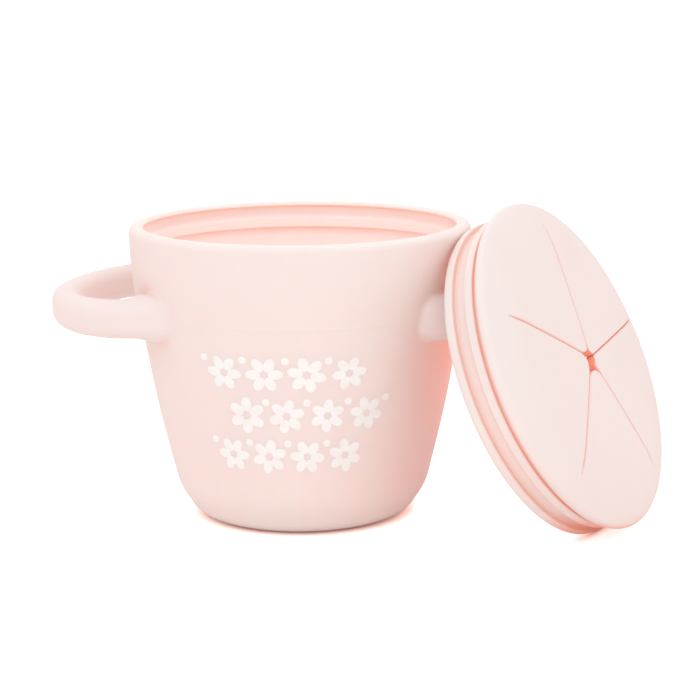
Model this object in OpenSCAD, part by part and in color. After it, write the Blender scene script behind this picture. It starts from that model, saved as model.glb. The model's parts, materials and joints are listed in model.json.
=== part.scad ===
// Toddler's silicone snack cup with two ring handles, and its snap-in lid with five soft flaps.
// Millimetres, +Z up. The origin is the centre of the base, the handles lie along X and the
// printed side faces -Y. The lid is off: it stands on its edge and leans on the cup's rim.

/* [Cup] */
// Height of the cup
cup_h = 86; // [78:1:110]
// Outer radius of the rim
rim_r = 50; // [46:0.5:60]
// Radius where the tapered side would meet the ground
foot_r = 35.1; // [32:0.1:40]
// Depth below the rim's top at which the tapered side would become upright
rim_band = 11.5; // [9:0.1:25]
// Height at which the side swells out most
belly_z = 32; // [26:1:40]
// How far it swells out there past the straight taper
belly = 1.1; // [0.2:0.1:1.5]
// Rounding of the side there
belly_round = 300; // [100:10:400]
// How far the flat face under the base stands in from the foot's radius
base_in = 7.1; // [5:0.1:10]
// Rounding where the base turns up
base_round = 6.5; // [3:0.5:8]
// Steepness of the turned-up edge of the base
turn_up = 55; // [45:1:65]
// Rounding where that edge meets the side
haunch_round = 25; // [10:1:40]
// Rounding where the side becomes upright near the rim
shoulder_round = 105; // [40:5:120]
// Thickness of the side
wall = 3.5; // [2.5:0.1:4.5]
// Thickness of the base
floor_t = 4; // [3:0.5:8]
// Rounding inside, where the side meets the base
floor_round = 10; // [4:1:14]
// Rounding of the rim's outer edge
rim_round = 2; // [0.5:0.1:2.4]

/* [Handles] */
// How far the middle of each ring lies inside the rim's radius
ring_in = 9; // [4:0.5:12]
// Radius of the ring's centre line
ring_r = 28; // [24:0.5:32]
// Width of the ring's section
ring_w = 8.5; // [6:0.5:10]
// Height of the ring's section
ring_h = 10.4; // [8:0.2:13]
// Rounding of the section's corners
ring_round = 3.8; // [1:0.1:4]
// Height of the ring's middle above the ground
ring_z = 62.7; // [50:0.1:65]

/* [Snap rim] */
// Width of the rim, from its outside in to the beads round the mouth
lip_w = 4.1; // [3.5:0.1:6]
// How far the lid's ribs and the cup's grooves pass the beads
snap_depth = 1.1; // [0.5:0.1:1.3]
// Play between the lid's plug and the cup
snap_gap = 0.3; // [0.2:0.05:0.5]
// Height of the lid's neck, which the top bead closes on
neck_h = 1.4; // [1.2:0.1:2]
// Height of the lid's upper rib
rib_h = 2.6; // [2:0.1:3.5]
// Length of the slope under the upper rib
rib_slope = 1; // [0.8:0.1:1.5]
// Height of the waist between the ribs, which the lower bead closes on
waist_h = 3.1; // [2.6:0.1:4]

/* [Lid] */
// How far the lid's disc reaches out past the mouth
lid_over = 2.9; // [2:0.1:4]
// Rounding of the disc's edge, half its thickness there
lid_edge = 1.7; // [1.2:0.1:2]
// Radius of the shallow dome in the middle
cap_r = 700; // [500:50:1500]
// Where the shallow dome turns into the shoulder
cap_end = 33; // [31:0.5:35]
// Radius of the shoulder round the dome
shoulder_r = 38; // [34:1:50]
// Thickness of the dome and its flaps
skin = 2; // [1.6:0.1:2.4]
// Depth of the plug below the disc
plug_h = 11.3; // [11:0.1:15]
// Rounding of the plug's lower edge
plug_round = 1.6; // [0.8:0.1:1.6]
// Thickness of the plug at its neck
plug_wall = 3.3; // [2.5:0.1:5]

/* [Flaps] */
// Number of flaps
flaps = 5; // [5:1:6]
// How far inside the plug each slit ends
slit_stop = 1; // [0.5:0.1:4]
// Width of each slit
slit_w = 0.7; // [0.5:0.1:0.8]
// Direction of the first slit
slit_turn = 7; // [0:1:72]
// Rounding of each flap's tip
tip_round = 2.6; // [1.5:0.1:4]
// How far the line that each flap bends on lies inside its slits' ends
root_in = 3.17; // [2.5:0.01:6]
// Largest swing of a flap to either side
swing = 60; // [30:5:60]

/* [Lid at rest] */
// How far below the rim's top the lid touches it
lean_drop = 2.5; // [0.5:0.1:6]
// Least tilt of the lid, kept where the cup is taller than the lid
lean_least = 10; // [5:1:15]
// Direction the lid's face looks, from +X
lean_turn = -26.5; // [-40:0.5:-15]
// Place on the plug's edge that meets the rim, from the level direction
lean_place = 103; // [95:0.5:110]
// Gap left at that place
lean_gap = 0.3; // [0.2:0.05:0.5]

/* [Hidden] */
$fn = 96;
silicone = [0.97, 0.8, 0.76];
arc_step = 9;                                   // degrees to each step of an arc
eps = 0.01;
fit = 0.98;                                     // most of its room that a rounding may take

// Cup: the mouth, the base and the side
mouth_r = rim_r - lip_w;
base_r = foot_r - base_in;
upright_z = cup_h - rim_band;
side_taper = atan((rim_r - foot_r) / upright_z);
belly_r = side_r(belly_z) + belly;
ring_x = rim_r - ring_in;

// Lid: its radii outside and inside
lid_r = mouth_r + lid_over;
neck_r = mouth_r - 2 * snap_gap;
rib_r = mouth_r + snap_depth;
plug_in = neck_r - plug_wall;

// Lid: the dome's arcs, with the disc's underside at height 0
edge_c = [lid_r - lid_edge, lid_edge];
cap_a = asin(cap_end / cap_r);
shoulder_x = (cap_r - shoulder_r) * sin(cap_a);
edge_a = asin((edge_c[0] - shoulder_x) / (shoulder_r - lid_edge));
shoulder_c = [shoulder_x, edge_c[1] - (shoulder_r - lid_edge) * cos(edge_a)];
cap_c = [0, shoulder_c[1] - (cap_r - shoulder_r) * cos(cap_a)];

// Lid: the plug's levels below the disc
rib_end = neck_h + rib_h;
waist_top = rib_end + rib_slope;
waist_end = waist_top + waist_h;

// Cup: the grooves and beads inside the rim take the plug's levels
groove_r = rib_r + snap_gap;
lead = 0.2;                                     // slope of each overhang
inner_off = wall / cos(side_taper);             // level distance between the side's two faces

// Flaps: the line they bend on
sector = 360 / flaps;
slit_len = plug_in - slit_stop;
bend_r = slit_len * cos(sector / 2) - root_in;
bend_end = bend_r / cos(sector / 2);
bend_drop = dome_z(bend_r) - dome_z(bend_end);
bend_z = dome_z(bend_r) - (bend_drop + skin) / 2;
knuckle_r = (skin + bend_drop) / 2 + 0.05;
seat_r = knuckle_r / cos(swing / 2 + 2);        // lets a flap swing and not meet the skin's edge
knuckle_half = (bend_r - knuckle_r) * tan(sector / 2) - slit_w / 2 / cos(sector / 2);
cut_h = plug_h + dome_z(0) + 1;                 // from the plug's lower edge to above the dome

// Lid at rest: the plug's rounded edge touches the ground and the upright part of the rim
foot_c = [rib_r - plug_round, plug_h - plug_round];
lean_span = foot_c[0] * (1 + sin(lean_place));
lean_tilt = acos(min((cup_h - lean_drop - plug_round) / lean_span, cos(lean_least)));
lean_z = plug_round + lean_span * cos(lean_tilt);
lean_reach = min(rim_r, wall_r(lean_z)) + lean_gap + plug_round;
lean_slant = sin(lean_tilt) / tan(lean_place);
lean_along = lean_reach / sqrt(1 + lean_slant * lean_slant);
lean_pos = [
    lean_along + foot_c[1] * cos(lean_tilt) + foot_c[0] * sin(lean_place) * sin(lean_tilt),
    -lean_along * lean_slant - foot_c[0] * cos(lean_place),
    foot_c[1] * sin(lean_tilt) + foot_c[0] * cos(lean_tilt) + plug_round
];

// Points of an arc about c, with its angles measured from +Y towards +X
function arc(c, r, from, to) =
    let (n = max(2, ceil(abs(to - from) / arc_step)))
    [for (i = [0:n]) let (a = from + (to - from) * i / n) c + r * [sin(a), cos(a)]];

// Points of a corner [x, y, rounding] between its neighbours
function corner(before, here, after) =
    let (
        p = [here[0], here[1]],
        u = [before[0], before[1]] - p,
        v = [after[0], after[1]] - p,
        ul = norm(u),
        vl = norm(v),
        half = acos(u * v / ul / vl) / 2,
        reach = here[2] / tan(half),
        centre = p + (u / ul + v / vl) * (here[2] / sin(half) / norm(u / ul + v / vl)),
        start = p + u / ul * reach - centre,
        end = p + v / vl * reach - centre,
        turn = 180 - 2 * half,
        side = sign(start[0] * end[1] - start[1] * end[0]),
        n = max(2, ceil(turn / arc_step))
    )
    here[2] == 0 ? [p] : [
        for (i = [0:n])
        let (a = side * turn * i / n)
        centre + [start[0] * cos(a) - start[1] * sin(a), start[0] * sin(a) + start[1] * cos(a)]
    ];

// A whole outline of such corners
function rounded(list) =
    [for (i = [0:len(list) - 1])
        each corner(list[(i + len(list) - 1) % len(list)], list[i], list[(i + 1) % len(list)])];

function reversed(list) = [for (i = [len(list) - 1:-1:0]) list[i]];

// A rounding, no larger than an edge of length room allows where the outline turns by an angle
function fitted(round, room, turn) = min(round, fit * room / tan(turn / 2));

// Radius of the cup's straight taper at height z, below the upright part
function side_r(z) = foot_r + z * tan(side_taper);

// The same with the belly's swell
function wall_r(z) = z < belly_z
    ? side_r(z) + belly * z / belly_z
    : belly_r + (rim_r - belly_r) * (z - belly_z) / (upright_z - belly_z);

// Height of the dome's top face at distance r from the lid's axis
function dome_z(r) = r < cap_end
    ? cap_c[1] + sqrt(cap_r * cap_r - r * r)
    : shoulder_c[1] + sqrt(pow(shoulder_r, 2) - pow(r - shoulder_c[0], 2));

// The dome's line at depth t below its top face, from the axis out to the disc's edge
function dome_line(t, end_a) = concat(
    arc(cap_c, cap_r - t, 0, cap_a),
    arc(shoulder_c, shoulder_r - t, cap_a, end_a)
);

module cup_outline() {
    edge_x = base_r + base_round * tan(turn_up / 2);
    haunch_z = (foot_r - edge_x) / (1 / tan(turn_up) - tan(side_taper));
    edge_len = haunch_z / sin(turn_up) - base_round * tan(turn_up / 2);
    lower_a = atan((belly_r - side_r(haunch_z)) / (belly_z - haunch_z));
    upper_a = atan((rim_r - belly_r) / (upright_z - belly_z));
    polygon(rounded([
        [0, 0, 0],
        [edge_x, 0, base_round],
        [side_r(haunch_z), haunch_z, fitted(haunch_round, edge_len, 90 - side_taper - turn_up)],
        [belly_r, belly_z, fitted(belly_round, (belly_z - haunch_z) / 2, lower_a - upper_a)],
        [rim_r, upright_z, fitted(shoulder_round, rim_band - rim_round, upper_a)],
        [rim_r, cup_h, rim_round],
        [0, cup_h, 0]
    ]));
}

module cavity_outline() {
    under_lip = cup_h - neck_h + snap_gap;
    bead_top = cup_h - rib_end + snap_gap;
    bead_end = cup_h - waist_end + snap_gap;
    throat = cup_h - plug_h - snap_gap;
    lower_a = atan((belly_r - side_r(floor_t)) / (belly_z - floor_t));
    upper_a = atan((wall_r(throat) - belly_r) / (throat - plug_round - belly_z));
    polygon(rounded([
        [0, cup_h + 1, 0],
        [mouth_r + 1, cup_h + 1, 0],
        [mouth_r, cup_h - 0.4, 0.4],
        [mouth_r, under_lip, 0.2],
        [groove_r, under_lip - lead, 0.4],
        [groove_r, bead_top, 0.8],
        [mouth_r, bead_top - rib_slope - snap_gap, 0.8],
        [mouth_r, bead_end, 0.2],
        [groove_r, bead_end - lead, 0.4],
        [groove_r, throat + plug_round, 0.8],
        [wall_r(throat) - inner_off, throat - plug_round, 2],
        [belly_r - inner_off, belly_z, fitted(belly_round, (belly_z - floor_t) / 2, lower_a - upper_a)],
        [side_r(floor_t) - inner_off, floor_t, floor_round],
        [0, floor_t, 0]
    ]));
}

module ring_section() {
    w = ring_w / 2;
    h = ring_h / 2;
    round = min(ring_round, 0.95 * min(w, h));
    polygon(rounded([[-w, -h, round], [w, -h, round], [w, h, round], [-w, h, round]]));
}

module handle() {
    translate([ring_x, 0, ring_z])
        rotate_extrude()
            translate([ring_r, 0])
                ring_section();
}

module cup() {
    color(silicone)
        difference() {
            union() {
                rotate_extrude()
                    cup_outline();
                handle();
                mirror([1, 0, 0])
                    handle();
            }
            rotate_extrude()
                cavity_outline();
        }
}

// Half of the lid's section, flaps and all
module lid_outline() {
    inner_a = asin((plug_in - shoulder_c[0]) / (shoulder_r - skin));
    plug = rounded([
        [0, 0, 0],
        [neck_r, 0, 0],
        [neck_r, -neck_h, 0.3],
        [rib_r, -neck_h - eps, 0.5],
        [rib_r, -rib_end, 0.5],
        [neck_r, -waist_top, 0.8],
        [neck_r, -waist_end, 0.3],
        [rib_r, -waist_end - eps, 0.5],
        [rib_r, -plug_h, plug_round],
        [plug_in, -plug_h, plug_round / 2],
        [plug_in, 0, 0]
    ]);
    polygon(concat(
        dome_line(0, edge_a),
        arc(edge_c, lid_edge, edge_a, 180),
        [for (i = [1:len(plug) - 1]) plug[i]],
        reversed(dome_line(skin, inner_a))
    ));
}

// The dome alone, out to where the flaps end
module dome_skin() {
    end_a = asin((bend_end + knuckle_r + 1 - shoulder_c[0]) / shoulder_r);
    rotate_extrude()
        polygon(concat(dome_line(0, end_a), reversed(dome_line(skin, end_a))));
}

// A round bar along a flap's bending line, for the flap at angle 0
module bend_bar(r, half) {
    translate([bend_r, half, bend_z])
        rotate([90, 0, 0])
            cylinder(r = r, h = 2 * half);
}

// What the flaps take out of the lid: the middle, the bars' seats and the ends of the slits
module flap_room() {
    for (i = [0:flaps - 1])
        rotate([0, 0, slit_turn + sector * i]) {
            translate([0, -slit_w / 2, -plug_h])
                cube([slit_len, slit_w, cut_h]);
            rotate([0, 0, sector / 2])
                bend_bar(seat_r, bend_r * tan(sector / 2) + slit_w);
        }
    rotate([0, 0, slit_turn])
        translate([0, 0, -plug_h])
            linear_extrude(height = cut_h)
                polygon([for (i = [0:flaps - 1]) bend_end * [cos(sector * i), sin(sector * i)]]);
}

module lid_body() {
    difference() {
        rotate_extrude()
            lid_outline();
        flap_room();
    }
}

// Plan of the flap at angle 0: a sector with a round tip, short of its slits' middles
module flap_plan() {
    half = sector / 2;
    tip_x = (tip_round + slit_w / 2) / sin(half);
    start_x = tip_x - tip_round * sin(half);
    start_y = tip_round * cos(half);
    end_y = (bend_r - slit_w / 2 / sin(half)) * tan(half);
    translate([tip_x, 0])
        circle(r = tip_round);
    polygon([[start_x, -start_y], [bend_r, -end_y], [bend_r, end_y], [start_x, start_y]]);
}

module flap_body() {
    intersection() {
        dome_skin();
        union() {
            translate([0, 0, -plug_h])
                linear_extrude(height = cut_h)
                    flap_plan();
            bend_bar(knuckle_r, knuckle_half);
        }
    }
}

// Puts what is drawn in the lid's own frame where the lid leans
module leaning() {
    rotate([0, 0, lean_turn])
        translate(lean_pos)
            rotate([0, 90 - lean_tilt, 0])
                rotate([0, 0, 90])
                    children();
}

module lid() {
    color(silicone)
        leaning()
            lid_body();
}

module flap(number) {
    color(silicone)
        leaning()
            rotate([0, 0, slit_turn + sector * (number - 0.5)])
                flap_body();
}

cup();
lid();
flap(1);  // flap_1
flap(2);  // flap_2
flap(3);  // flap_3
flap(4);  // flap_4
flap(5);  // flap_5
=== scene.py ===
import json
import math

import bmesh
import bpy
from mathutils import Matrix, Vector
from mathutils.geometry import delaunay_2d_cdt


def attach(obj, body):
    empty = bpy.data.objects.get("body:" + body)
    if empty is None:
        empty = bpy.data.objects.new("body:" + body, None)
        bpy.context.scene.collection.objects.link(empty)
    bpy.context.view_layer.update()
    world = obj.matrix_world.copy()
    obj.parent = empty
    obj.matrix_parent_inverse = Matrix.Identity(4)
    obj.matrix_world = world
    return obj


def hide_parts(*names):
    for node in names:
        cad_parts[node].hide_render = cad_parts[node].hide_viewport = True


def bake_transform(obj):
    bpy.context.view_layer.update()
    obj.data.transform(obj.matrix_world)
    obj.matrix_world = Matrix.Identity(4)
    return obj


# Toddler's snack cup with two ring handles, and its snap-in lid of five soft flaps.
# Lengths are in millimetres until a mesh is made, then in metres.

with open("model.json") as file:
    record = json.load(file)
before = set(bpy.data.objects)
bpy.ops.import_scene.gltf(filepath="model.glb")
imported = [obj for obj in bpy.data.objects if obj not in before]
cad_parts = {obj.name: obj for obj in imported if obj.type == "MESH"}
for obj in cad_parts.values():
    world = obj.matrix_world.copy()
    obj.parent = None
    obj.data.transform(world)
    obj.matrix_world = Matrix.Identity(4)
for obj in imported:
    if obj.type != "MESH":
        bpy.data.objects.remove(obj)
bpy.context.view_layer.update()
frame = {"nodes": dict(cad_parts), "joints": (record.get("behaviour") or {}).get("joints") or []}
mm = 0.001
print("frame loaded:", ", ".join(sorted(frame["nodes"])))


class Wire:
    # one output socket; sums on it add Math nodes
    def __init__(self, tree, socket):
        self.tree = tree
        self.socket = socket

    def __getitem__(self, name):
        return Wire(self.tree, self.socket.node.outputs[name])

    def maths(self, operation, left, right=0.0):
        return self.tree.node("ShaderNodeMath", {"operation": operation}, {0: left, 1: right})

    def __add__(self, other):
        return self.maths("ADD", self, other)

    def __radd__(self, other):
        return self.maths("ADD", other, self)

    def __sub__(self, other):
        return self.maths("SUBTRACT", self, other)

    def __rsub__(self, other):
        return self.maths("SUBTRACT", other, self)

    def __mul__(self, other):
        return self.maths("MULTIPLY", self, other)

    def __rmul__(self, other):
        return self.maths("MULTIPLY", other, self)

    def __truediv__(self, other):
        return self.maths("DIVIDE", self, other)

    def __mod__(self, other):
        return self.maths("FLOORED_MODULO", self, other)


class Tree:
    def __init__(self, nodeTree):
        self.nodeTree = nodeTree

    def node(self, kind, settings=None, sockets=None):
        made = self.nodeTree.nodes.new(kind)
        for name, value in (settings or {}).items():
            if name == "stops":
                for stop, (position, colour) in zip(self.rampStops(made, len(value)), value):
                    stop.position = position
                    stop.color = colour
            else:
                setattr(made, name, value)
        for name, value in (sockets or {}).items():
            if isinstance(value, Wire):
                self.nodeTree.links.new(value.socket, made.inputs[name])
            else:
                made.inputs[name].default_value = value
        return Wire(self, made.outputs[0]) if len(made.outputs) else made

    def rampStops(self, ramp, count):
        elements = ramp.color_ramp.elements
        while len(elements) < count:
            elements.new(0.5)
        return elements


black = (0, 0, 0, 1)
white = (1, 1, 1, 1)
nearnessSamples = 8


def mixColour(tree, factor, first, second):
    return tree.node("ShaderNodeMix", {"data_type": "RGBA"}, {0: factor, 6: first, 7: second})[2]


def ramp(tree, factor, *stops):
    return tree.node("ShaderNodeValToRGB", {"stops": stops}, {"Fac": factor})


def noise(tree, size, detail):
    # cloudy values fixed to the object, size millimetres across
    return tree.node("ShaderNodeTexNoise", {}, {
        "Vector": tree.node("ShaderNodeTexCoord")["Object"], "Scale": 1 / (size * mm), "Detail": detail})


def newMaterial(name):
    # an empty material and its node tree
    material = bpy.data.materials.new(name)
    material.use_nodes = True
    material.node_tree.nodes.clear()
    return material, Tree(material.node_tree)


def placed(name, data):
    # a new object in the scene
    made = bpy.data.objects.new(name, data)
    bpy.context.scene.collection.objects.link(made)
    return made


silicone = {
    "lit": (0.835, 0.775, 0.75, 1),        # blush pink
    "cloudy": (0.83, 0.755, 0.73, 1),      # where the pigment lies thicker
    "cloudSize": 28,                       # mm across a patch of deeper pigment
    "cloudRange": (0.35, 0.68),
    "crease": (0.95, 0.42, 0.30, 1),       # painted shade: salmon laid into the colour where the skin folds close together
    "creaseReach": {"cup": 8, "lid": 12},  # mm, how far the painted shade looks for nearby surfaces
    "creaseRange": (0.1, 0.85),            # openness where the painted shade is full and where it ends
    "cutGlow": (1, 0.28, 0.17, 1),         # painted glow on a slit's cut faces, standing in for light that comes through the thin skin
    "cutGlowStrength": 0.04,
    "roughness": 0.5,
    "roughnessSpread": 0.08,
    "grainSize": 0.35,                     # mm, the mould's matt skin
    "grainDepth": 0.02,                    # mm
    "grainStrength": 0.5,
    "glow": {"cup": 0.2, "lid": 0.0},      # share of the light that goes under the surface
    "glowReach": (10, 3, 2),               # mm for red, green and blue
    "shine": 0.4,
    "bloom": 0.1,                          # powdery sheen
    "bloomRoughness": 0.4,
}


def makeSilicone(name, use, ownShadeOnly):
    # use is cup or lid; the last argument leaves other pieces' nearness out of the painted shade
    material, tree = newMaterial(name)
    cloud = noise(tree, silicone["cloudSize"], 3.0)
    mask = ramp(tree, cloud, (silicone["cloudRange"][0], black), (silicone["cloudRange"][1], white))
    # painted shade: an occlusion node turns the colour salmon where the surface is hemmed in by folds,
    # grooves and slits
    openness = tree.node("ShaderNodeAmbientOcclusion", {
        "samples": nearnessSamples, "only_local": ownShadeOnly}, {
        "Distance": silicone["creaseReach"][use] * mm})["AO"]
    foldShadeMask = ramp(tree, openness, (silicone["creaseRange"][0], white), (silicone["creaseRange"][1], black))
    cut = tree.node("ShaderNodeAttribute", {"attribute_name": "cutFace"})["Fac"]
    skin = mixColour(tree, mask, silicone["lit"], silicone["cloudy"])
    grain = noise(tree, silicone["grainSize"], 2.0)
    relief = tree.node("ShaderNodeBump", {}, {
        "Strength": silicone["grainStrength"], "Distance": silicone["grainDepth"] * mm, "Height": grain})
    surface = tree.node("ShaderNodeBsdfPrincipled", {"subsurface_method": "RANDOM_WALK"}, {
        # the slits' cut faces take the full painted shade as well
        "Base Color": mixColour(tree, cut.maths("MAXIMUM", foldShadeMask, cut), skin, silicone["crease"]),
        "Roughness": silicone["roughness"] + (cloud - 0.5) * silicone["roughnessSpread"] * 2,
        "Normal": relief,
        "Subsurface Weight": silicone["glow"][use],
        "Subsurface Radius": Vector(silicone["glowReach"]),
        "Subsurface Scale": mm,
        "Specular IOR Level": silicone["shine"],
        # painted glow: the slits' cut faces give off a faint salmon light of their own
        "Emission Color": mixColour(tree, cut, black, silicone["cutGlow"]),
        "Emission Strength": silicone["cutGlowStrength"],
        "Sheen Weight": silicone["bloom"],
        "Sheen Roughness": silicone["bloomRoughness"],
    })
    tree.node("ShaderNodeOutputMaterial", {}, {"Surface": surface})
    return material


ink = {
    "colour": (0.89, 0.93, 0.92, 1),
    "worn": (0.87, 0.87, 0.85, 1),
    "wornRange": (0.45, 0.75),
    "patchSize": 5,                        # mm
    "roughness": 0.42,
    "roughnessSpread": 0.08,
    "relief": 0.01,                        # mm
    "reliefStrength": 0.3,
}


def makeInk():
    material, tree = newMaterial("whiteInk")
    patch = noise(tree, ink["patchSize"], 4.0)
    mask = ramp(tree, patch, (ink["wornRange"][0], black), (ink["wornRange"][1], white))
    relief = tree.node("ShaderNodeBump", {}, {
        "Strength": ink["reliefStrength"], "Distance": ink["relief"] * mm, "Height": patch})
    surface = tree.node("ShaderNodeBsdfPrincipled", {}, {
        "Base Color": mixColour(tree, mask, ink["colour"], ink["worn"]),
        "Roughness": ink["roughness"] + patch * ink["roughnessSpread"],
        "Normal": relief,
    })
    tree.node("ShaderNodeOutputMaterial", {}, {"Surface": surface})
    return material


cupSilicone = makeSilicone("blushSilicone", "cup", True)
lidSilicone = makeSilicone("blushSiliconeLid", "lid", False)
whiteInk = makeInk()
print("finishes made")


meshing = {
    "joinDistance": 0.002,                 # mm, points closer than this become one
    "shortestEdge": 0.001,                 # mm
    "sharpAngle": 35,                      # degrees
}


def roundedLine(corners, turnStep):
    # an open outline of (x, z, rounding) corners as points, turnStep degrees apart; its ends stay sharp
    line = []
    for i, (x, z, rounding) in enumerate(corners):
        here = Vector((x, z))
        if rounding == 0 or i in (0, len(corners) - 1):
            line.append(here)
            continue
        back = (Vector(corners[i - 1][:2]) - here).normalized()
        ahead = (Vector(corners[i + 1][:2]) - here).normalized()
        half = back.angle(ahead) / 2
        centre = here + (back + ahead).normalized() * rounding / math.sin(half)
        start = here + back * rounding / math.tan(half) - centre
        end = here + ahead * rounding / math.tan(half) - centre
        first = math.atan2(start.y, start.x)
        turn = (math.atan2(end.y, end.x) - first + math.pi) % (2 * math.pi) - math.pi
        steps = max(2, math.ceil(abs(turn) / math.radians(turnStep)))
        for k in range(steps + 1):
            angle = first + turn * k / steps
            line.append(centre + rounding * Vector((math.cos(angle), math.sin(angle))))
    return line


def divided(line, spacing):
    # the same line with no two points further apart than spacing
    points = [line[0]]
    for start, end in zip(line, line[1:]):
        parts = math.ceil((end - start).length / spacing)
        points += [start.lerp(end, k / parts) for k in range(1, parts + 1)]
    return points


def gridFaces(lines, length, start=0, joinLines=True, joinEnds=True):
    # quads between neighbouring lines of points, the last line joined to the first and each line's
    # end to its start where asked
    faces = []
    for k in range(lines if joinLines else lines - 1):
        ahead = (k + 1) % lines
        for s in range(length if joinEnds else length - 1):
            after = (s + 1) % length
            corners = ((k, s), (k, after), (ahead, after), (ahead, s))
            faces.append([start + line * length + place for line, place in corners])
    return faces


def meshPiece(name, points, faces, material, cuts=None):
    # a closed, smooth-shaded object from points in millimetres; cuts is each point's share of cut face
    build = bmesh.new()
    cutFace = build.verts.layers.float.new("cutFace")
    corners = [build.verts.new(Vector(p) * mm) for p in points]
    for corner, share in zip(corners, cuts or []):
        corner[cutFace] = share
    for face in faces:
        if len(set(face)) > 2:
            build.faces.new([corners[i] for i in face])
    bmesh.ops.remove_doubles(build, verts=build.verts, dist=meshing["joinDistance"] * mm)
    bmesh.ops.dissolve_degenerate(build, edges=build.edges, dist=meshing["shortestEdge"] * mm)
    loose = [v for v in build.verts if not v.link_faces]
    bmesh.ops.delete(build, geom=loose, context="VERTS")
    bmesh.ops.recalc_face_normals(build, faces=build.faces)
    openEdges = sum(1 for edge in build.edges if len(edge.link_faces) != 2)
    mesh = bpy.data.meshes.new(name)
    build.to_mesh(mesh)
    build.free()
    mesh.materials.append(material)
    mesh.shade_smooth()
    mesh.set_sharp_from_angle(angle=math.radians(meshing["sharpAngle"]))
    print(f"{name}: {len(mesh.polygons)} faces, {openEdges} open edges")
    return placed(name, mesh)


def geometryTree(name, inputs):
    # a Geometry Nodes group with a mesh in and out, and its named inputs as wires
    group = bpy.data.node_groups.new(name, "GeometryNodeTree")
    group.interface.new_socket("Geometry", in_out="INPUT", socket_type="NodeSocketGeometry")
    for label, kind in inputs:
        group.interface.new_socket(label, in_out="INPUT", socket_type="NodeSocket" + kind)
    group.interface.new_socket("Geometry", in_out="OUTPUT", socket_type="NodeSocketGeometry")
    tree = Tree(group)
    return group, tree, tree.node("NodeGroupInput")


def finishTree(tree, geometry, material):
    real = tree.node("GeometryNodeRealizeInstances", {}, {"Geometry": geometry})
    painted = tree.node("GeometryNodeSetMaterial", {}, {"Geometry": real, "Material": material})
    tree.node("NodeGroupOutput", {}, {"Geometry": painted})


def runTree(name, mesh, group, values):
    # evaluates a Geometry Nodes group on a mesh and gives the plain mesh that comes out
    carrier = placed(name, mesh)
    modifier = carrier.modifiers.new(name, "NODES")
    modifier.node_group = group
    for item in group.interface.items_tree:
        if item.in_out == "INPUT" and item.name in values:
            modifier[item.identifier] = values[item.name]
    evaluated = carrier.evaluated_get(bpy.context.evaluated_depsgraph_get())
    plain = bpy.data.meshes.new_from_object(evaluated)
    bpy.data.objects.remove(carrier)
    return plain


cup = {
    "height": 86,
    "rimRadius": 50,
    "footRadius": 35.1,                    # where the tapered side would meet the ground
    "uprightHeight": 74.5,                 # where the side would become upright
    "bellyHeight": 32,                     # where the side swells out most
    "belly": 1.1,                          # how far it swells past the straight taper
    "bellyRounding": 300,
    "shoulderRounding": 105,
    "baseRadius": 26.8,                    # of the flat face it stands on
    "baseRounding": 8,
    "turnUp": 56.4,                        # degrees, steepness of the turned-up edge
    "haunchRounding": 18,                  # where that edge meets the side
    "rimRounding": 2,
    "rimDepth": 0.5,                       # of the upright band below that rounding
    "lipRounding": 0.7,
    "wall": 3.5,
    "floor": 4,
    "floorRounding": 10,
    "partingHeight": 62.7,                 # the mould's halves met here
    "partingWidth": 0.35,
    "partingProud": 0.05,
    "partingRows": 4,                      # on each side of the parting line's middle
    "partingClear": 0.3,                   # from the parting line to the next row
    "columns": 264,
    "rowSpacing": 1.25,
    "sideTurn": 2,                         # degrees between points on the outer roundings
    "insideTurn": 12,
}
snapRim = {
    "mouthRadius": 45.9,
    "grooveRadius": 47.3,
    "lipUnder": 84.9,                      # heights of the beads and grooves inside the rim
    "beadTop": 82.3,
    "beadSlope": 1.3,
    "beadEnd": 78.2,
    "grooveEnd": 76,
    "throat": 74.4,
    "throatEnd": 72.8,
    "throatRounding": 2,
    "overhang": 0.2,
    "roundings": (0.2, 0.4, 0.8),          # of a bead's edge, a groove's corner and a slope's ends
}
handle = {
    "centre": 41,                          # from the cup's axis to the ring's middle
    "height": 62.7,
    "radius": 28,
    "width": 8.5,
    "thickness": 10.4,
    "taper": 0.06,                         # share by which the front limb is thicker, the back thinner
    "sag": 0.8,                            # how far the front limb hangs down halfway along
    "rounding": 3.8,
    "fillet": 1.2,                         # where a limb meets the wall
    "flare": 1.3,                          # how much stouter a limb is where it meets the wall
    "backFlare": 0.3,                      # the back limb's share of that
    "flareLength": 8,
    "lift": {1: 0, -1: 2.6},               # how far each ring's back limb has been bent up at its root
    "sides": 72,
    "lengthSteps": 84,
    "filletSteps": 8,
}
rootWall = {
    "columns": 2,                          # of the wall that are remeshed beyond a limb's root
    "height": 2.5,                         # the same above and below it
    "clear": 0.4,                          # from the root to the nearest of the wall's own points
}
sideSlope = (cup["rimRadius"] - cup["footRadius"]) / cup["uprightHeight"]
sideAngle = math.atan(sideSlope)
rimStart = cup["height"] - cup["rimRounding"] - cup["rimDepth"]


def sideRadius(height):
    return cup["footRadius"] + height * sideSlope


bellyRadius = sideRadius(cup["bellyHeight"]) + cup["belly"]
upperSlope = (cup["rimRadius"] - bellyRadius) / (cup["uprightHeight"] - cup["bellyHeight"])
upperAngle = math.atan(upperSlope)


def sideLine():
    # the cup's outer outline from the middle of its base up to the rim, without the parting line
    edge = cup["baseRadius"] + cup["baseRounding"] * math.tan(math.radians(cup["turnUp"]) / 2)
    lean = 1 / math.tan(math.radians(cup["turnUp"])) - sideSlope
    haunch = (cup["footRadius"] - edge) / lean
    line = roundedLine([
        (0, 0, 0),
        (edge, 0, cup["baseRounding"]),
        (sideRadius(haunch), haunch, cup["haunchRounding"]),
        (bellyRadius, cup["bellyHeight"], cup["bellyRounding"]),
        (cup["rimRadius"], cup["uprightHeight"], cup["shoulderRounding"]),
        (cup["rimRadius"], rimStart, 0),
    ], cup["sideTurn"])
    return divided(line, cup["rowSpacing"])


plainSide = sideLine()


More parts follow.
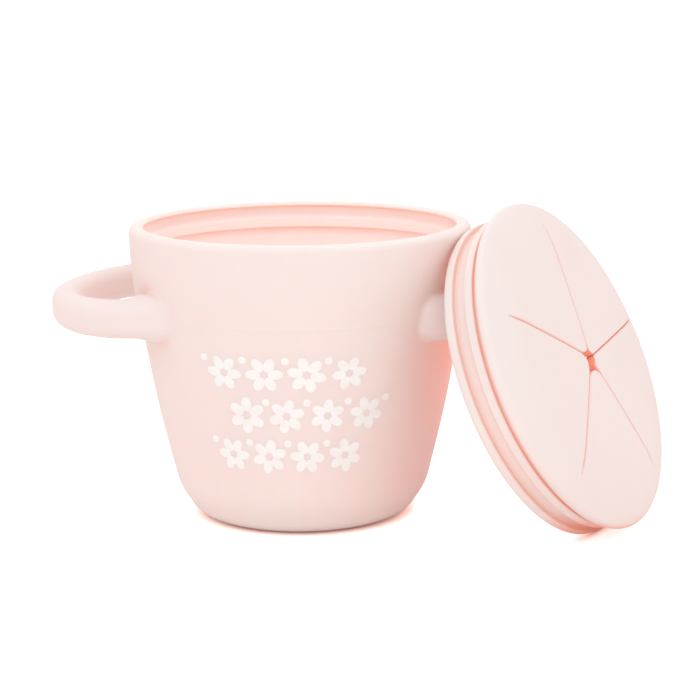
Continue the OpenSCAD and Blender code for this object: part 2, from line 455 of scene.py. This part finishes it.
def wallRadius(height):
    # outer radius of the side at a height, its raised parting line included
    radius = cup["rimRadius"]
    for low, high in zip(plainSide, plainSide[1:]):
        if low.y < height <= high.y:
            radius = low.x + (high.x - low.x) * (height - low.y) / (high.y - low.y)
    away = abs(height - cup["partingHeight"]) / cup["partingWidth"]
    return radius + cup["partingProud"] * max(0, 1 - away ** 2) ** 2


def outsideLine():
    # the same outline with rows that follow the parting line
    near, beside = cup["partingWidth"], cup["partingRows"]
    lower = [p for p in plainSide if p.y < cup["bellyHeight"] / 2]
    last = math.ceil((rimStart - cup["rimDepth"] - lower[-1].y) / cup["rowSpacing"])
    upper = [lower[-1].y + cup["rowSpacing"] * k for k in range(1, last)]
    upper = [z for z in upper if abs(z - cup["partingHeight"]) > near + cup["partingClear"]]
    upper += [cup["partingHeight"] + near * k / beside for k in range(-beside, beside + 1)]
    return lower + [Vector((wallRadius(z), z)) for z in sorted(upper)]


def insideLine():
    # from the rim's outer edge over the lip, past the beads and down to the middle of the floor
    level = cup["wall"] / math.cos(sideAngle)
    mouth, groove = snapRim["mouthRadius"], snapRim["grooveRadius"]
    under, top, end = snapRim["lipUnder"], snapRim["beadTop"], snapRim["beadEnd"]
    edge, corner, slope = snapRim["roundings"]
    throatRadius = bellyRadius + (snapRim["throat"] - cup["bellyHeight"]) * math.tan(upperAngle)
    corners = [
        (cup["rimRadius"], rimStart, 0),
        (cup["rimRadius"], cup["height"], cup["rimRounding"]),
        (mouth, cup["height"], cup["lipRounding"]),
        (mouth, under, edge),
        (groove, under - snapRim["overhang"], corner),
        (groove, top, slope),
        (mouth, top - snapRim["beadSlope"], slope),
        (mouth, end, edge),
        (groove, end - snapRim["overhang"], corner),
        (groove, snapRim["grooveEnd"], slope),
        (throatRadius - level, snapRim["throatEnd"], snapRim["throatRounding"]),
        (bellyRadius - level, cup["bellyHeight"], cup["bellyRounding"]),
        (sideRadius(cup["floor"]) - level, cup["floor"], cup["floorRounding"]),
        (0, cup["floor"], 0),
    ]
    return divided(roundedLine(corners, cup["insideTurn"]), cup["rowSpacing"])


def turnedTree():
    # turns an outline round the upright axis: a grid whose columns are copies of the outline
    group, tree, given = geometryTree("turnedWall", [("Columns", "Int"), ("Finish", "Material")])
    rows = tree.node("GeometryNodeAttributeDomainSize", {"component": "MESH"}, {
        "Geometry": given["Geometry"]})["Point Count"]
    grid = tree.node("GeometryNodeMeshGrid", {}, {
        "Vertices X": given["Columns"] + 1, "Vertices Y": rows})
    index = tree.node("GeometryNodeInputIndex")
    column = index.maths("FLOOR", (index + 0.5) / rows)
    outline = tree.node("GeometryNodeSampleIndex", {"data_type": "FLOAT_VECTOR"}, {
        "Geometry": given["Geometry"],
        "Value": tree.node("GeometryNodeInputPosition"),
        "Index": index - column * rows,
    })
    flat = tree.node("ShaderNodeSeparateXYZ", {}, {0: outline})
    angle = column * (2 * math.pi) / given["Columns"]
    place = tree.node("ShaderNodeCombineXYZ", {}, {
        "X": flat["X"] * angle.maths("COSINE", angle),
        "Y": flat["X"] * angle.maths("SINE", angle),
        "Z": flat["Z"],
    })
    turned = tree.node("GeometryNodeSetPosition", {}, {"Geometry": grid, "Position": place})
    finishTree(tree, turned, given["Finish"])
    return group


def turnedPoints(line):
    # the turned outline's points in millimetres, column after column
    mesh = bpy.data.meshes.new("outline")
    edges = [(k, k + 1) for k in range(len(line) - 1)]
    mesh.from_pydata([(p.x * mm, 0, p.y * mm) for p in line], edges, [])
    turned = runTree("cupOutline", mesh, turnedTree(), {"Columns": cup["columns"], "Finish": cupSilicone})
    return [v.co / mm for v in turned.vertices]


def ringSection():
    # points round the ring's section, each with the direction it faces
    width = handle["width"] / 2 - handle["rounding"]
    height = handle["thickness"] / 2 - handle["rounding"]
    section = []
    for k in range(handle["sides"]):
        angle = 2 * math.pi * (k + 0.5) / handle["sides"]
        facing = Vector((math.cos(angle), math.sin(angle)))
        centre = Vector((math.copysign(width, facing.x), math.copysign(height, facing.y)))
        section.append((centre + facing * handle["rounding"], facing))
    return section


def ringMeetsWall(offset, gap, lift):
    # where a line along the ring comes within gap of the wall: distance out, distance across, height
    height = handle["height"] + offset.y + lift
    reach = wallRadius(height) + gap / math.cos(upperAngle)
    radius = handle["radius"] + offset.x
    x = (reach ** 2 - radius ** 2 + handle["centre"] ** 2) / (2 * handle["centre"])
    return Vector((x, math.sqrt(reach ** 2 - x ** 2), height))


def filletLine(offset, facing, lift):
    # from the wall, round the fillet, to the ring's own surface
    fillet = handle["fillet"]
    onWall = ringMeetsWall(offset + facing * fillet, 0, lift)
    corner = ringMeetsWall(offset, 0, lift)
    onRing = ringMeetsWall(offset, fillet, lift)
    line = []
    for k in range(handle["filletSteps"] + 1):
        t = k / handle["filletSteps"]
        line.append((1 - t) ** 2 * onWall + 2 * t * (1 - t) * corner + t ** 2 * onRing)
    return line


def eased(share):
    share = min(1, max(0, share))
    return share * share * (3 - 2 * share)


def handleGrid(side):
    # the ring handle from its front root round to its back root: one line of points per section point
    flares = (handle["flare"], handle["flare"] * handle["backFlare"])
    lift = handle["lift"][side]
    grid = []
    for offset, facing in ringSection():
        thick = Vector((offset.x, offset.y * (1 + handle["taper"])))
        thin = Vector((offset.x, offset.y * (1 - handle["taper"])))
        front = filletLine(thick + facing * flares[0], facing, 0)
        back = filletLine(thin + facing * flares[1], facing, lift)
        ends = [math.atan2(root[-1].y, root[-1].x - handle["centre"]) for root in (front, back)]
        limb = []
        for k in range(1, handle["lengthSteps"]):
            angle = -ends[0] + (ends[0] + ends[1]) * k / handle["lengthSteps"]
            behind = angle > 0
            toRoot = (ends[behind] - abs(angle)) * handle["radius"]
            here = thick.lerp(thin, k / handle["lengthSteps"])
            here += facing * flares[behind] * eased(1 - toRoot / handle["flareLength"])
            sag = 0 if behind else handle["sag"] * math.sin(math.pi * angle / ends[0])
            radius = handle["radius"] + here.x
            limb.append(Vector((
                handle["centre"] + radius * math.cos(angle),
                radius * math.sin(angle),
                handle["height"] + here.y + sag + lift * eased(angle / ends[1]))))
        line = [Vector((p.x, -p.y, p.z)) for p in front] + limb + back[::-1]
        grid.append([Vector((side * p.x, p.y, p.z)) for p in line])
    return grid


def insideLoop(point, loop):
    # whether a flat point lies inside a flat closed outline
    inside = False
    for first, second in zip(loop, loop[1:] + loop[:1]):
        if (first.y > point.y) != (second.y > point.y):
            cross = first.x + (point.y - first.y) / (second.y - first.y) * (second.x - first.x)
            if point.x < cross:
                inside = not inside
    return inside


def rootPatch(points, rows, loop):
    # the wall round one root: the grid cells it takes and the triangles that fill them
    step = 2 * math.pi / cup["columns"]
    angles = [math.atan2(p.y, p.x) % (2 * math.pi) for p in loop]
    centre = math.atan2(loop[0].y, loop[0].x)
    turned = [(a - centre + math.pi) % (2 * math.pi) - math.pi + centre for a in angles]
    heights = [p.z for p in loop]
    firstColumn = math.floor(min(turned) / step) - rootWall["columns"]
    lastColumn = math.ceil(max(turned) / step) + rootWall["columns"]
    low, high = min(heights) - rootWall["height"], max(heights) + rootWall["height"]
    near = [r for r in sideRows if low < points[r].z < high]
    firstRow, lastRow = near[0], near[-1]
    flat, solid = [], []
    columnRange = range(firstColumn, lastColumn + 1)

    def gridPoint(column, row):
        return points[(column % cup["columns"]) * rows + row]

    border = [(c, firstRow) for c in columnRange]
    border += [(lastColumn, r) for r in range(firstRow + 1, lastRow + 1)]
    border += [(c, lastRow) for c in reversed(columnRange[:-1])]
    border += [(firstColumn, r) for r in range(lastRow - 1, firstRow, -1)]
    for c, r in border:
        place = gridPoint(c, r)
        flat.append(Vector((c * step * cup["rimRadius"], place.z)))
        solid.append(place)
    flatLoop = [Vector((angle * cup["rimRadius"], place.z)) for place, angle in zip(loop, turned)]
    flat += flatLoop
    solid += loop
    for c in columnRange[1:-1]:
        for r in range(firstRow + 1, lastRow):
            place = gridPoint(c, r)
            spot = Vector((c * step * cup["rimRadius"], place.z))
            gap = min((spot - p).length for p in flatLoop)
            if not insideLoop(spot, flatLoop) and gap > rootWall["clear"]:
                flat.append(spot)
                solid.append(place)
    edges = [(k, (k + 1) % len(border)) for k in range(len(border))]
    edges += [(len(border) + k, len(border) + (k + 1) % len(loop)) for k in range(len(loop))]
    found = delaunay_2d_cdt(flat, edges, [], 0, 1e-6)
    origin = [source[0] for source in found[3]]
    triangles = []
    for face in found[2]:
        middle = sum((found[0][i] for i in face), Vector((0, 0))) / len(face)
        if not insideLoop(middle, flatLoop):
            triangles.append([origin[i] for i in face])
    taken = {((c % cup["columns"]), r) for c in columnRange[:-1] for r in range(firstRow, lastRow)}
    return solid, triangles, taken


outside = outsideLine()
cupLine = outside + insideLine()
rowCount = len(cupLine)
sideRows = range(len(outside) // 3, len(outside))       # rows of the wall well above the base
cupPoints = turnedPoints(cupLine)
cupFaces, takenCells, extraFaces = [], set(), []
for side in (1, -1):
    grid = handleGrid(side)
    for end in (0, -1):
        loop = [line[end] for line in grid]
        solid, triangles, taken = rootPatch(cupPoints, rowCount, loop)
        base = len(cupPoints)
        cupPoints += solid
        extraFaces += [[base + i for i in face] for face in triangles]
        takenCells |= taken
    extraFaces += gridFaces(len(grid), len(grid[0]), start=len(cupPoints), joinEnds=False)
    for line in grid:
        cupPoints += line
for column in range(cup["columns"]):
    for row in range(rowCount - 1):
        if (column, row) not in takenCells:
            here = column * rowCount + row
            there = here + rowCount
            cupFaces.append([here, there, there + 1, here + 1])
cupShell = meshPiece("cup_shell", cupPoints, cupFaces + extraFaces, cupSilicone)
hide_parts("cup")
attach(cupShell, "cup")
print("cup made")


flowers = {
    "columns": 4,
    "rows": 3,
    "spacingAcross": 11.4,
    "spacingUp": 12.2,
    "middleHeight": 37.5,
    "turn": 0.6,                           # degrees round the cup from its front
    "petals": 6,
    "petalLength": 4.2,
    "petalWidth": 2.9,
    "petalPlace": 3.1,                     # from a flower's middle to a petal's
    "dotRadius": 1.1,
    "dotLift": 0.33,                       # of the row spacing
    "stagger": (0.25, 0.75),               # of the spacing, the flowers' rows and the dots'
    "outlineSides": 18,
    "sizeSpread": 0.1,
    "inkThickness": 0.09,
    "sunk": 0.04,
    "seed": 5,
}


def flowerTree():
    # staggered rows of petalled flowers with dots between, still flat
    group, tree, given = geometryTree("printedFlowers", [
        ("Columns", "Int"), ("Rows", "Int"), ("Spacing Across", "Float"), ("Spacing Up", "Float"),
        ("Petals", "Int"), ("Petal Length", "Float"), ("Petal Width", "Float"), ("Petal Place", "Float"),
        ("Dot Radius", "Float"), ("Size Spread", "Float"), ("Ink Thickness", "Float"),
        ("Seed", "Int"), ("Finish", "Material")])
    index = tree.node("GeometryNodeInputIndex")
    oval = tree.node("GeometryNodeMeshCircle", {"fill_type": "NGON"}, {
        "Vertices": flowers["outlineSides"], "Radius": 0.5})
    size = tree.node("ShaderNodeCombineXYZ", {}, {
        "X": given["Petal Length"], "Y": given["Petal Width"], "Z": 1.0})
    petal = tree.node("GeometryNodeTransform", {}, {"Geometry": oval, "Scale": size})
    ring = tree.node("GeometryNodeMeshCircle", {}, {
        "Vertices": given["Petals"], "Radius": given["Petal Place"]})
    turn = tree.node("ShaderNodeCombineXYZ", {}, {"Z": index * (2 * math.pi) / given["Petals"]})
    flower = tree.node("GeometryNodeInstanceOnPoints", {}, {
        "Points": ring, "Instance": petal, "Rotation": turn})
    dot = tree.node("GeometryNodeMeshCircle", {"fill_type": "NGON"}, {
        "Vertices": flowers["outlineSides"], "Radius": given["Dot Radius"]})
    kinds = (
        (flower, flowers["stagger"][0], 0.0, given["Size Spread"]),
        (dot, flowers["stagger"][1], flowers["dotLift"], 0.0),
    )
    parts = []
    for instance, stagger, lift, spread in kinds:
        grid = tree.node("GeometryNodeMeshGrid", {}, {
            "Size X": (given["Columns"] - 1) * given["Spacing Across"],
            "Size Y": (given["Rows"] - 1) * given["Spacing Up"],
            "Vertices X": given["Columns"], "Vertices Y": given["Rows"]})
        across = ((index % given["Rows"]) % 2.0 * 2 - 1) * given["Spacing Across"] * stagger
        shift = tree.node("ShaderNodeCombineXYZ", {}, {"X": across, "Y": given["Spacing Up"] * lift})
        places = tree.node("GeometryNodeSetPosition", {}, {"Geometry": grid, "Offset": shift})
        scale = tree.node("FunctionNodeRandomValue", {"data_type": "FLOAT"}, {
            2: 1 - spread, 3: 1 + spread * 0.5, "Seed": given["Seed"]})[1]
        spin = tree.node("FunctionNodeRandomValue", {"data_type": "FLOAT"}, {
            2: 0.0, 3: math.pi, "Seed": given["Seed"] + 1})[1]
        parts.append(tree.node("GeometryNodeInstanceOnPoints", {}, {
            "Points": places, "Instance": instance, "Scale": scale,
            "Rotation": tree.node("ShaderNodeCombineXYZ", {}, {"Z": spin})}))
    joined = tree.node("GeometryNodeJoinGeometry", {}, {"Geometry": parts[0]})
    tree.nodeTree.links.new(parts[1].socket, joined.socket.node.inputs[0])
    flat = tree.node("GeometryNodeRealizeInstances", {}, {"Geometry": joined})
    raised = tree.node("GeometryNodeExtrudeMesh", {"mode": "FACES"}, {
        "Mesh": flat, "Offset Scale": given["Ink Thickness"]})
    under = tree.node("GeometryNodeFlipFaces", {}, {"Mesh": flat})
    whole = tree.node("GeometryNodeJoinGeometry", {}, {"Geometry": raised})
    tree.nodeTree.links.new(under.socket, whole.socket.node.inputs[0])
    closed = tree.node("GeometryNodeMergeByDistance", {}, {"Geometry": whole, "Distance": 1e-6})
    finishTree(tree, closed, given["Finish"])
    return group


inkMesh = runTree("inkCarrier", bpy.data.meshes.new("inkCarrier"), flowerTree(), {
    "Columns": flowers["columns"], "Rows": flowers["rows"],
    "Spacing Across": flowers["spacingAcross"] * mm, "Spacing Up": flowers["spacingUp"] * mm,
    "Petals": flowers["petals"], "Petal Length": flowers["petalLength"] * mm,
    "Petal Width": flowers["petalWidth"] * mm, "Petal Place": flowers["petalPlace"] * mm,
    "Dot Radius": flowers["dotRadius"] * mm, "Size Spread": flowers["sizeSpread"],
    "Ink Thickness": flowers["inkThickness"] * mm, "Seed": flowers["seed"], "Finish": whiteInk})
for vertex in inkMesh.vertices:
    # the flat design is laid round the swelling side
    height = vertex.co.y / mm + flowers["middleHeight"]
    angle = vertex.co.x / mm / wallRadius(flowers["middleHeight"]) + math.radians(flowers["turn"])
    radius = wallRadius(height) + vertex.co.z / mm - flowers["sunk"]
    vertex.co = Vector((math.sin(angle) * radius, -math.cos(angle) * radius, height)) * mm
flowerPrint = placed("flower_print", inkMesh)
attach(flowerPrint, "cup")
print("print made:", len(inkMesh.polygons), "faces")


lid = {
    "discRadius": 48.8,
    "edgeRounding": 1.7,
    "capRadius": 700,                      # the shallow dome in the middle
    "capEnd": 33,
    "shoulderRadius": 38,
    "skin": 2,
    "neckRadius": 46.1,                    # under the disc
    "waistRadius": 45.3,                   # between the ribs
    "ribRadius": 47,
    "neckEnd": 1.4,                        # depths of the plug's ribs below the disc
    "ribEnd": 4,
    "waistTop": 5,
    "waistEnd": 8.1,
    "plugDepth": 11.3,
    "plugInner": 42,
    "shelf": 0.9,                          # width of the dome's underside that the plug's line takes in
    "ribStep": 0.01,                       # drop from a neck or waist to the rib below it
    "neckRoundings": (0.4, 0.3),
    "ribRoundings": (0.55, 0.6),
    "waistRoundings": (0.8, 0.4),
    "plugRounding": 1.6,
    "innerRounding": 0.8,
    "flatEnd": 43,                         # rows are round from here outwards
    "rowSpacing": 1.1,
    "faceRows": 6,
    "edgeRows": 14,
    "turn": 12,                            # degrees between points on the plug's roundings
    "innerRows": (16, 12),                 # from the flaps out to flatEnd on the face, and underneath
    "rowGather": 1.7,                      # how strongly these rows gather at the flaps
}
flap = {
    "count": 5,
    "slitLength": 41,
    "slitWidth": 0.1,
    "tipRounding": (2.4, 3.6, 4.4, 5.4, 2.9),     # one for each flap, as their tips have settled
    "edgeRounding": (0.8, 0.4),            # on the face and underneath
    "edgeGrowth": 3,                       # from the root, where that rounding has its full size
    "edgeShare": 0.5,                      # of half the flap's width, the most it takes
    "edgeSteps": 4,
    "tipThickness": 3.2,
    "thickEnds": (4, 16),                  # from the lid's middle, between tip and dome thickness
    "cutFade": 1.6,                        # how soon the cut face's painted shade and painted glow fade round the rounding
    "hingeLevel": 5.881,                   # height of the bending lines above the disc's underside
    "bendStart": 31.8,                     # from the lid's middle, where a flap begins to bend
    "bendEnd": 21,
    "columns": 56,
    "rows": 34,
    "rowGather": 1.35,                     # how strongly the rows gather at the root
    "tipAngles": (48, 3, -6),              # degrees, first row round the tip, end and step
}
sector = 2 * math.pi / flap["count"]
# the straight root of each flap: its distance from the lid's middle, and half its length
rootLine = flap["slitLength"] * math.cos(sector / 2)
rootHalf = rootLine * math.tan(sector / 2) - flap["slitWidth"] / 2 / math.cos(sector / 2)

capAngle = math.asin(lid["capEnd"] / lid["capRadius"])
shoulderX = (lid["capRadius"] - lid["shoulderRadius"]) * math.sin(capAngle)
edgeX = lid["discRadius"] - lid["edgeRounding"]
edgeAngle = math.asin((edgeX - shoulderX) / (lid["shoulderRadius"] - lid["edgeRounding"]))
shoulderZ = lid["edgeRounding"] - (lid["shoulderRadius"] - lid["edgeRounding"]) * math.cos(edgeAngle)
capZ = shoulderZ - (lid["capRadius"] - lid["shoulderRadius"]) * math.cos(capAngle)


def domeHeight(radius, depth=0):
    # height of the dome's face, or of the face that lies depth below it
    if radius < (lid["capRadius"] - depth) * math.sin(capAngle):
        return capZ + math.sqrt((lid["capRadius"] - depth) ** 2 - radius ** 2)
    return shoulderZ + math.sqrt((lid["shoulderRadius"] - depth) ** 2 - (radius - shoulderX) ** 2)


def lidLine():
    # the section from the face at flatEnd, round the disc's edge and the plug, to the underside
    top, edge = [], []
    faceEnd = edgeX + lid["edgeRounding"] * math.sin(edgeAngle)
    for k in range(lid["faceRows"] + 1):
        radius = lid["flatEnd"] + (faceEnd - lid["flatEnd"]) * k / lid["faceRows"]
        top.append(Vector((radius, domeHeight(radius))))
    for k in range(1, lid["edgeRows"] + 1):
        angle = edgeAngle + (math.pi - edgeAngle) * k / lid["edgeRows"]
        edge.append(Vector((
            edgeX + lid["edgeRounding"] * math.sin(angle),
            lid["edgeRounding"] + lid["edgeRounding"] * math.cos(angle))))
    neck, rib, waist = lid["neckRoundings"], lid["ribRoundings"], lid["waistRoundings"]
    shelf = lid["plugInner"] - lid["shelf"]
    plug = roundedLine([
        (edgeX, 0, 0),
        (lid["neckRadius"], 0, neck[0]),
        (lid["neckRadius"], -lid["neckEnd"], neck[1]),
        (lid["ribRadius"], -lid["neckEnd"] - lid["ribStep"], rib[0]),
        (lid["ribRadius"], -lid["ribEnd"], rib[1]),
        (lid["waistRadius"], -lid["waistTop"], waist[0]),
        (lid["waistRadius"], -lid["waistEnd"], waist[1]),
        (lid["ribRadius"], -lid["waistEnd"] - lid["ribStep"], rib[0]),
        (lid["ribRadius"], -lid["plugDepth"], lid["plugRounding"]),
        (lid["plugInner"], -lid["plugDepth"], lid["innerRounding"]),
        (lid["plugInner"], domeHeight(lid["plugInner"], lid["skin"]), lid["innerRounding"]),
        (shelf, domeHeight(shelf, lid["skin"]), 0),
    ], lid["turn"])
    return divided(top + edge + plug[1:], lid["rowSpacing"])


def lidFrame():
    # the lid's own axes, worked out from the flaps' hinges: X towards the first flap, Z out of the lid
    hinges = [Vector(joint["pos_m"]) / mm for joint in frame["joints"] if joint["type"] == "hinge"]
    middle = sum(hinges, Vector((0, 0, 0))) / len(hinges)
    out = (hinges[1] - middle).cross(hinges[2] - middle).normalized()
    along = (hinges[0] - middle).normalized()
    axes = Matrix((along, out.cross(along), out)).transposed()
    return axes, middle - out * flap["hingeLevel"]


lidAxes, lidMiddle = lidFrame()


def inLid(point):
    return lidAxes @ Vector(point) + lidMiddle


def lidPoints():
    # columns of the lid's section, each from the inner edge on top round to the inner edge below
    fixed = lidLine()
    inner = fixed[-1].x
    topRows, underRows = lid["innerRows"]
    columns = []
    for k in range(flap["count"]):
        turn = Matrix.Rotation(sector * k, 2)
        along = [rootHalf * (2 * j / flap["columns"] - 1) for j in range(flap["columns"] + 1)]
        edge = [turn @ Vector((rootLine, y)) for y in along]
        edge.append(turn @ Vector((rootLine, rootLine * math.tan(sector / 2))))
        for start in edge:
            out, reach = start.normalized(), start.length
            line = []
            for r in range(topRows):
                radius = reach + (lid["flatEnd"] - reach) * (r / topRows) ** lid["rowGather"]
                line.append((radius, domeHeight(radius)))
            line += [(p.x, p.y) for p in fixed]
            for r in range(1, underRows + 1):
                radius = reach + (inner - reach) * (1 - r / underRows) ** lid["rowGather"]
                line.append((radius, domeHeight(radius, lid["skin"])))
            columns.append([Vector((out.x * radius, out.y * radius, z)) for radius, z in line])
    return columns


lidColumns = lidPoints()
lidFaces = gridFaces(len(lidColumns), len(lidColumns[0]))
lidRing = meshPiece("lid_ring", [inLid(p) for line in lidColumns for p in line], lidFaces, lidSilicone)
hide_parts("lid")
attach(lidRing, "lid")
print("lid made")


def flapRows(rounding):
    # the flap's plan from root to tip: (distance from the lid's middle, half width)
    slitOffset = flap["slitWidth"] / 2 / math.sin(sector / 2)
    tipX = (rounding + flap["slitWidth"] / 2) / math.sin(sector / 2)
    tipStart = tipX - rounding * math.sin(sector / 2)
    rows = []
    for k in range(flap["rows"] + 1):
        x = rootLine + (tipStart - rootLine) * (k / flap["rows"]) ** flap["rowGather"]
        rows.append((x, (x - slitOffset) * math.tan(sector / 2)))
    for degrees in range(*flap["tipAngles"]):
        angle = math.radians(degrees)
        rows.append((tipX - rounding * math.cos(angle), rounding * math.sin(angle)))
    return rows


def flapSection(x, half):
    # one closed loop round the flap's thickness at distance x, and how far each point lies on the cut
    growth = min(1, (rootLine - x) / flap["edgeGrowth"])
    softs = [min(edge * growth, half * flap["edgeShare"]) for edge in flap["edgeRounding"]]
    thick, thin = flap["thickEnds"]
    thickness = lid["skin"] + (flap["tipThickness"] - lid["skin"]) * eased((thin - x) / (thin - thick))
    loop, cut = [], []
    steps = flap["edgeSteps"]
    for face, order in ((0, 1), (thickness, -1)):
        soft = softs[face > 0]
        for j in range(flap["columns"] + 1):
            y = order * (half - soft) * (2 * j / flap["columns"] - 1)
            loop.append(Vector((x, y, domeHeight(math.hypot(x, y), face))))
            cut.append(0)
        for turned, sunk in ((1, face), (-1, thickness - face)):
            soft = softs[sunk > 0]
            for k in range(1, steps + 1)[::turned]:
                angle = math.pi / 2 * k / steps
                drop = soft * (1 - math.cos(angle)) * order * turned
                y = order * (half - soft + soft * math.sin(angle))
                loop.append(Vector((x, y, domeHeight(math.hypot(x, y), sunk) - drop)))
                cut.append((k / steps) ** flap["cutFade"])
    return loop, cut


def flapMesh(number):
    turn = Matrix.Rotation(sector * (number - 1), 3, "Z")
    sections = [flapSection(x, half) for x, half in flapRows(flap["tipRounding"][number - 1])]
    points = [inLid(turn @ p) for loop, cut in sections for p in loop]
    size = len(sections[0][0])
    faces = gridFaces(len(sections), size, joinLines=False)
    faces.append(list(range(size)))
    faces.append(list(range(len(points) - size, len(points))))
    cuts = [share for loop, cut in sections[:-1] for share in cut] + [1] * size
    return meshPiece(f"lid_flap_{number}", points, faces, lidSilicone, cuts=cuts)


for number in range(1, flap["count"] + 1):
    piece = flapMesh(number)
    towards = Matrix.Rotation(sector * (number - 1), 3, "Z") @ Vector((1, 0, 0))
    level = Vector((0, 0, flap["hingeLevel"]))
    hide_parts(f"flap_{number}")
    inLid(towards * flap["bendStart"] + level) * mm
    inLid(towards * flap["bendEnd"] + level) * mm
    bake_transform(piece)
print("flaps made")


studio = {
    "floorColour": (0.84, 0.74, 0.71, 1),
    "floorDrift": (0.85, 0.75, 0.72, 1),   # the floor's tone a little way off
    "floorGrain": 3.0,
    "floorGlow": 0.14,                     # the table is lit from below
    "sweepShine": 0.6,                     # light that the table adds where it is looked at directly
    "floorSize": 12,                       # m
    "floorDepth": 0.0002,                  # m, below what stands on it
    "contactReach": 0.0035,                # m, how far the painted contact shadow looks for nearby pieces
    "contactStops": (
        (0.0, (0.12, 0.0, 0.0, 1)),        # painted contact shadow: the table's glow darkens to deep red where a piece touches it
        (0.45, (1, 0.66, 0.56, 1)),
        (0.75, white),
    ),
    "sky": 1.08,
    "skyColour": (1, 0.865, 0.855, 1),
}
# name: (place and aim in metres, size, watts, colour)
lamps = {
    "key": ((-0.7, -1.1, 1.2), (0.01, 0, 0.04), 0.9, 2.85, (0.2, 0.93, 1)),
    "fill": ((0.9, -1.0, 1.1), (0.01, 0, 0.04), 0.9, 2.35, (0.2, 0.93, 1)),
    "low": ((-0.15, -0.9, 0.02), (0.01, 0, 0.04), 0.4, 0.3, (0.6, 0.98, 1)),
    "foot": ((0.02, -0.12, 0.012), (0.08, -0.04, 0.015), 0.05, 0.004, (1, 0.45, 0.35)),
    "gap": ((0.07, -0.012, 0.045), (0, 0, 0.04), 0.03, 0.0045, (1, 0.12, 0.03)),
    "rim": ((0.0575, -0.014, 0.0735), (0.044, -0.02, 0.072), 0.012, 0.0006, (1, 0.25, 0.15)),
    "ring": ((-0.0575, -0.006, 0.0628), (-0.05, 0.024, 0.066), 0.012, 0.0003, (1, 0.4, 0.3)),
    "top": ((0, 0, 0.14), (0, 0.01, 0), 0.09, 0.015, (0.8, 0.75, 0.72)),
    "inside": ((0, 0, 0.0065), (0, 0.001, 0.09), 0.05, 0.022, (1, 0.5, 0.4)),
}
cameraFit = {
    "distance": 0.636604,                  # m, level, from the cup's axis
    "height": 0.174434,
    "azimuth": 2.7,                        # degrees round the cup from its printed side
    "yaw": 1.2866,
    "pitch": -11.271,
    "roll": -0.5484,
    "focalPixels": 2191.42,
    "imagePixels": 700,
}


def makeFloor():
    material, tree = newMaterial("paleFloor")
    grain = tree.node("ShaderNodeTexNoise", {}, {
        "Vector": tree.node("ShaderNodeTexCoord")["Object"], "Scale": studio["floorGrain"]})
    matt = tree.node("ShaderNodeBsdfDiffuse", {}, {
        "Color": mixColour(tree, grain, studio["floorColour"], studio["floorDrift"])})
    # painted contact shadow: an occlusion node darkens the floor's glow next to the pieces
    openness = tree.node("ShaderNodeAmbientOcclusion", {"samples": nearnessSamples}, {
        "Distance": studio["contactReach"]})["AO"]
    seen = tree.node("ShaderNodeLightPath")["Is Camera Ray"]
    shine = tree.node("ShaderNodeEmission", {}, {
        "Color": ramp(tree, openness, *studio["contactStops"]),
        "Strength": studio["floorGlow"] + seen * studio["sweepShine"]})
    surface = tree.node("ShaderNodeAddShader", {}, {0: matt, 1: shine})
    tree.node("ShaderNodeOutputMaterial", {}, {"Surface": surface})
    half = studio["floorSize"] / 2
    mesh = bpy.data.meshes.new("floor")
    corners = ((-half, -half), (half, -half), (half, half), (-half, half))
    mesh.from_pydata([(x, y, -studio["floorDepth"]) for x, y in corners], [], [(0, 1, 2, 3)])
    mesh.materials.append(material)
    placed("floor", mesh)


def makeLights():
    world = bpy.data.worlds.new("studio")
    bpy.context.scene.world = world
    world.use_nodes = True
    world.node_tree.nodes.clear()
    tree = Tree(world.node_tree)
    sky = tree.node("ShaderNodeBackground", {}, {"Color": studio["skyColour"], "Strength": studio["sky"]})
    tree.node("ShaderNodeOutputWorld", {}, {"Surface": sky})
    for name, (place, aim, size, power, colour) in lamps.items():
        light = bpy.data.lights.new(name, "AREA")
        light.energy = power
        light.size = size
        light.color = colour
        lamp = placed(name, light)
        lamp.location = place
        lamp.rotation_euler = (Vector(aim) - Vector(place)).to_track_quat("-Z", "Y").to_euler()
        lamp.visible_camera = False


def makeCamera():
    yaw, pitch, roll, azimuth = (
        math.radians(cameraFit[name]) for name in ("yaw", "pitch", "roll", "azimuth"))
    level = math.cos(pitch)
    ahead = Vector((math.sin(yaw) * level, math.cos(yaw) * level, math.sin(pitch)))
    right = Vector((math.cos(yaw), -math.sin(yaw), 0))
    up = right.cross(ahead)
    rolledRight = right * math.cos(roll) + up * math.sin(roll)
    rolledUp = up * math.cos(roll) - right * math.sin(roll)
    turn = Matrix.Rotation(azimuth, 3, "Z")
    axes = turn @ Matrix((rolledRight, rolledUp, -ahead)).transposed()
    camera = placed("camera", bpy.data.cameras.new("camera"))
    place = turn @ Vector((0, -cameraFit["distance"], cameraFit["height"]))
    camera.matrix_world = Matrix.Translation(place) @ axes.to_4x4()
    camera.data.lens = camera.data.sensor_width * cameraFit["focalPixels"] / cameraFit["imagePixels"]
    bpy.context.scene.camera = camera


makeFloor()
makeLights()
makeCamera()
bpy.context.scene.view_settings.view_transform = "Standard"
print("studio made")
